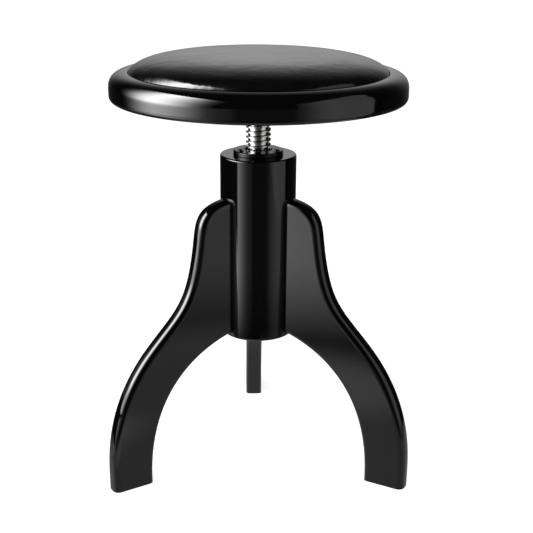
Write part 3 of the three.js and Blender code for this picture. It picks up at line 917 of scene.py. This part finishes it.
def graded(nodes, links, value, stops):
    """Maps a value to a strength along a soft ramp of (value, strength) stops, held at both ends."""
    first, last = stops[0][0], stops[-1][0]
    peak = max(strength for place, strength in stops)
    share = math_node(nodes, links, "DIVIDE", math_node(nodes, links, "SUBTRACT", value, first), last - first)
    ramp = nodes.new("ShaderNodeValToRGB")
    ramp.color_ramp.interpolation = "B_SPLINE"
    for place, strength in stops[1:-1]:
        level = strength / peak
        ramp.color_ramp.elements.new((place - first) / (last - first)).color = (level, level, level, 1)
    for number in (0, -1):
        level = stops[number][1] / peak
        ramp.color_ramp.elements[number].color = (level, level, level, 1)
    links.new(share, ramp.inputs["Fac"])
    return math_node(nodes, links, "MULTIPLY", ramp.outputs["Color"], peak)


def light_panel(name, centre, facing, size, lean=0.0):
    """Stands a light panel at centre, turned to face a point, and gives its nodes, links, place and glow."""
    bpy.ops.object.select_all(action="DESELECT")
    bpy.ops.mesh.primitive_plane_add(size=1, location=centre)
    panel = bpy.context.object
    panel.name = name
    back = Vector(centre) - Vector(facing)
    turn = Vector((back.x, back.y, 0)).to_track_quat("-Z", "Y")
    panel.rotation_euler = (turn.to_matrix() @ Matrix.Rotation(lean, 3, "X")).to_euler()
    panel.scale = (*size, 1)
    panel.visible_camera = False
    panel.visible_diffuse = False
    panel.visible_shadow = False
    material = bpy.data.materials.new(name)
    material.use_nodes = True
    nodes, links = material.node_tree.nodes, material.node_tree.links
    nodes.clear()
    glow = nodes.new("ShaderNodeEmission")
    links.new(glow.outputs[0], nodes.new("ShaderNodeOutputMaterial").inputs["Surface"])
    place = nodes.new("ShaderNodeSeparateXYZ")
    links.new(nodes.new("ShaderNodeTexCoord").outputs["Object"], place.inputs["Vector"])
    panel.data.materials.append(material)
    return nodes, links, place, glow


nodes, links, place, glow = light_panel(
    "soft_light_left", softbox_place, softbox_aim, softbox_size, softbox_lean)
across, up = place.outputs["X"], place.outputs["Y"]
off_middle = math_node(nodes, links, "SUBTRACT", across, ranged(nodes, links, up, 0.05, 0.5, -0.035, 0.01))
main = math_node(nodes, links, "MULTIPLY", hill(nodes, links, off_middle, 0, 0.145, 0.122), softbox_peak)
skirt = math_node(nodes, links, "MULTIPLY", hill(nodes, links, off_middle, 0, 0.2, 0.127), skirt_peak)
share = ranged(nodes, links, up, -0.40, -0.24, 0, 1)
main = math_node(nodes, links, "MULTIPLY", main, share)
skirt = math_node(nodes, links, "MULTIPLY", skirt, math_node(nodes, links, "SUBTRACT", 1, share))
links.new(math_node(nodes, links, "ADD", main, skirt), glow.inputs["Strength"])

nodes, links, place, glow = light_panel("grey_card_right", card_place, card_aim, card_size)
towards_back = math_node(nodes, links, "MULTIPLY", place.outputs["X"], -card_size[0])
up = place.outputs["Y"]
strength = graded(nodes, links, towards_back, [
    (-1.1, 0.12), (-0.8, 0.24), (-0.5, 0.40), (-0.25, 0.60), (0.0, 0.82), (0.2, 0.88), (0.4, 0.80),
    (0.6, 0.70), (0.8, 0.62), (1.1, 0.60)])
edge = math_node(nodes, links, "SUBTRACT", towards_back, ranged(nodes, links, up, 0.06, 0.25, 0, 0.13))
strength = math_node(nodes, links, "MULTIPLY", strength, ranged(nodes, links, edge, 0.93, 0.87, 0, 1))
strength = math_node(nodes, links, "MULTIPLY", strength, ranged(nodes, links, up, 0.5, 0.34, 0.1, 1))
links.new(strength, glow.inputs["Strength"])


def soft_lamp(name, place, aim, size, power):
    """Hangs a square soft lamp that lights matt surfaces and isn't seen as a reflection."""
    lamp = bpy.data.lights.new(name, "AREA")
    lamp.size = size
    lamp.energy = power
    lamp_object = bpy.data.objects.new(name, lamp)
    bpy.context.collection.objects.link(lamp_object)
    lamp_object.location = place
    lamp_object.rotation_euler = (Vector(place) - Vector(aim)).to_track_quat("Z", "Y").to_euler()
    lamp_object.visible_glossy = False
    lamp_object.visible_camera = False


soft_lamp("plain_key", key_place, lamp_aim, lamp_size, key_power)
soft_lamp("plain_fill", fill_place, lamp_aim, lamp_size, fill_power)

world = bpy.data.worlds.new("studio")
bpy.context.scene.world = world
world.use_nodes = True
nodes, links = world.node_tree.nodes, world.node_tree.links
background = nodes["Background"]
background.inputs["Color"].default_value = (1, 1, 1, 1)
plain_level = 0.55
dim_level = 0.004
sweep_peak = 0.68
high_sweep_peak = 0.1
to_degrees = 180 / math.pi
direction = nodes.new("ShaderNodeSeparateXYZ")
links.new(nodes.new("ShaderNodeTexCoord").outputs["Generated"], direction.inputs["Vector"])
east, north, height = direction.outputs
west = math_node(nodes, links, "MULTIPLY", east, -1)
climb = math_node(nodes, links, "ARCSINE", height)
climb = math_node(nodes, links, "MULTIPLY", climb, to_degrees)
from_left = math_node(nodes, links, "ARCTAN2", north, west)
from_left = math_node(nodes, links, "MULTIPLY", from_left, to_degrees)
from_right = math_node(nodes, links, "ARCTAN2", north, east)
from_right = math_node(nodes, links, "MULTIPLY", from_right, to_degrees)
from_back = math_node(nodes, links, "ARCTAN2", east, north)
from_back = math_node(nodes, links, "MULTIPLY", from_back, to_degrees)
left_glow = graded(nodes, links, from_left, [
    (-73, 0), (-68, 0.2), (-60, 0.27), (-52, 0.5), (-44, 1.0), (-36, 1.9), (-28, 3.0), (-20, 4.5), (-12, 5.6),
    (-4, 6.1), (6, 4.9), (14, 2.8), (22, 1.1), (30, 0.4), (40, 0)])
left_glow = math_node(nodes, links, "MULTIPLY", left_glow, graded(nodes, links, climb, [
    (-75, 0.1), (-40, 0.6), (-27, 0.8), (-25, 0.5), (-23.8, 0.05), (-22.6, 0.8), (-21, 0.93), (-19, 0.93)]))
under = math_node(nodes, links, "MAXIMUM", ranged(nodes, links, climb, -16.5, -19.5, 0, 1),
                  ranged(nodes, links, from_left, -21, -27, 0, 1))
left_glow = math_node(nodes, links, "MULTIPLY", left_glow, under)
right_glow = graded(nodes, links, from_right, [
    (-68, 0), (-60, 0.12), (-52, 0.33), (-42, 0.52), (-32, 0.65), (-18, 0.68), (-4, 0.56), (2, 0.3),
    (7, 0.05), (10, 0)])
low_glow = math_node(nodes, links, "ADD", left_glow, right_glow)
low_glow = math_node(nodes, links, "MULTIPLY", low_glow, ranged(nodes, links, climb, 0, -3, 0, 1))
sweep = math_node(nodes, links, "MULTIPLY", hill(nodes, links, from_back, 1, 13, 20),
                  hill(nodes, links, climb, 13, 12.5))
high_sweep = math_node(nodes, links, "MULTIPLY", hill(nodes, links, from_back, 5, 22),
                       hill(nodes, links, climb, 42, 8))
sweep = math_node(nodes, links, "ADD", math_node(nodes, links, "MULTIPLY", sweep, sweep_peak),
                  math_node(nodes, links, "MULTIPLY", high_sweep, high_sweep_peak))
mirrored = math_node(nodes, links, "ADD", sweep, low_glow)
mirrored = math_node(nodes, links, "ADD", mirrored, dim_level - plain_level)
path = nodes.new("ShaderNodeLightPath")
total = math_node(nodes, links, "MULTIPLY", path.outputs["Is Glossy Ray"], mirrored)
for ray in ("Is Camera Ray", "Is Transmission Ray"):
    total = math_node(nodes, links, "ADD", total,
                      math_node(nodes, links, "MULTIPLY", path.outputs[ray], 1 - plain_level))
links.new(math_node(nodes, links, "ADD", total, plain_level), background.inputs["Strength"])


# Camera. It stands a little over a metre in front of the stool, above the seat, and looks down on it. Its
# place, lens, dip and roll are those that bring the CAD model over the photo's outlines.

camera_place = Vector((-0.0358, -1.1872, 0.6598))
heading = math.radians(88.25)
dip = 0.33409
roll = 0.0050875
focal_length = 67.15
sensor_width = 36
sideways_shift = 0.0165

forward = Vector((math.cos(heading) * math.cos(dip), math.sin(heading) * math.cos(dip), -math.sin(dip)))
level_right = Vector((math.sin(heading), -math.cos(heading), 0))
level_up = level_right.cross(forward)
right = math.cos(roll) * level_right + math.sin(roll) * level_up
up = -math.sin(roll) * level_right + math.cos(roll) * level_up
lens = bpy.data.cameras.new("camera")
lens.lens = focal_length
lens.sensor_width = sensor_width
lens.shift_x = sideways_shift
camera = bpy.data.objects.new("camera", lens)
bpy.context.collection.objects.link(camera)
camera.matrix_world = Matrix((right, up, -forward)).transposed().to_4x4()
camera.location = camera_place
bpy.context.scene.camera = camera
bpy.context.scene.view_settings.view_transform = "Standard"
